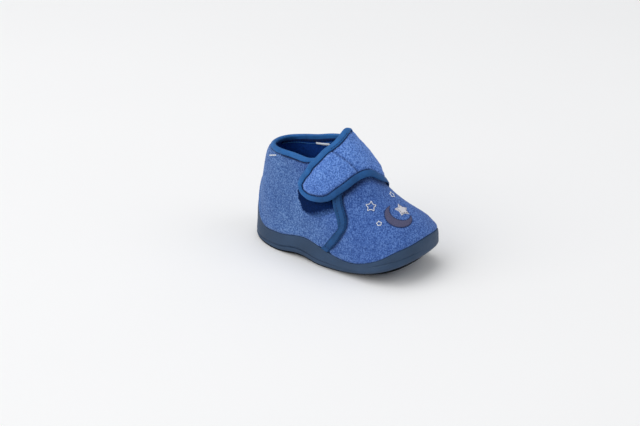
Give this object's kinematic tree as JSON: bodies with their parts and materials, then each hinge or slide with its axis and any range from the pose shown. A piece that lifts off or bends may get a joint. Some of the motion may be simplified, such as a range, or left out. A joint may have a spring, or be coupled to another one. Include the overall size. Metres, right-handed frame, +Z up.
{
  "type": "toddler slipper",
  "caption": "Ankle-high fleece slipper for a toddler's right foot, with a bound collar, a wide touch-fastening strap over the instep and a moulded rubber cup sole with toe bumper and heel tab.",
  "frame": {"origin": "on the floor, under the middle of the sole's length and width", "axes": "+X from heel to toe, +Y to the inner side of the right foot, +Z up"},
  "size_m": [0.1522, 0.0708, 0.0986],
  "materials": {
    "rubber": "matte moulded, slate blue",
    "fleece": "short-pile fleece, mottled blue",
    "tape": "smooth folded tape, steel blue",
    "lining": "brushed lining, dark navy",
    "loop": "fuzzy loop pile, dark navy"
  },
  "bodies": {
    "root": {"sole": "rubber", "insole": "lining", "upper": "fleece", "strap": "fleece", "collar_binding": "tape", "strap_binding": "tape", "quarter_binding": "tape", "loop_patch": "loop"}
  },
  "joints": []
}
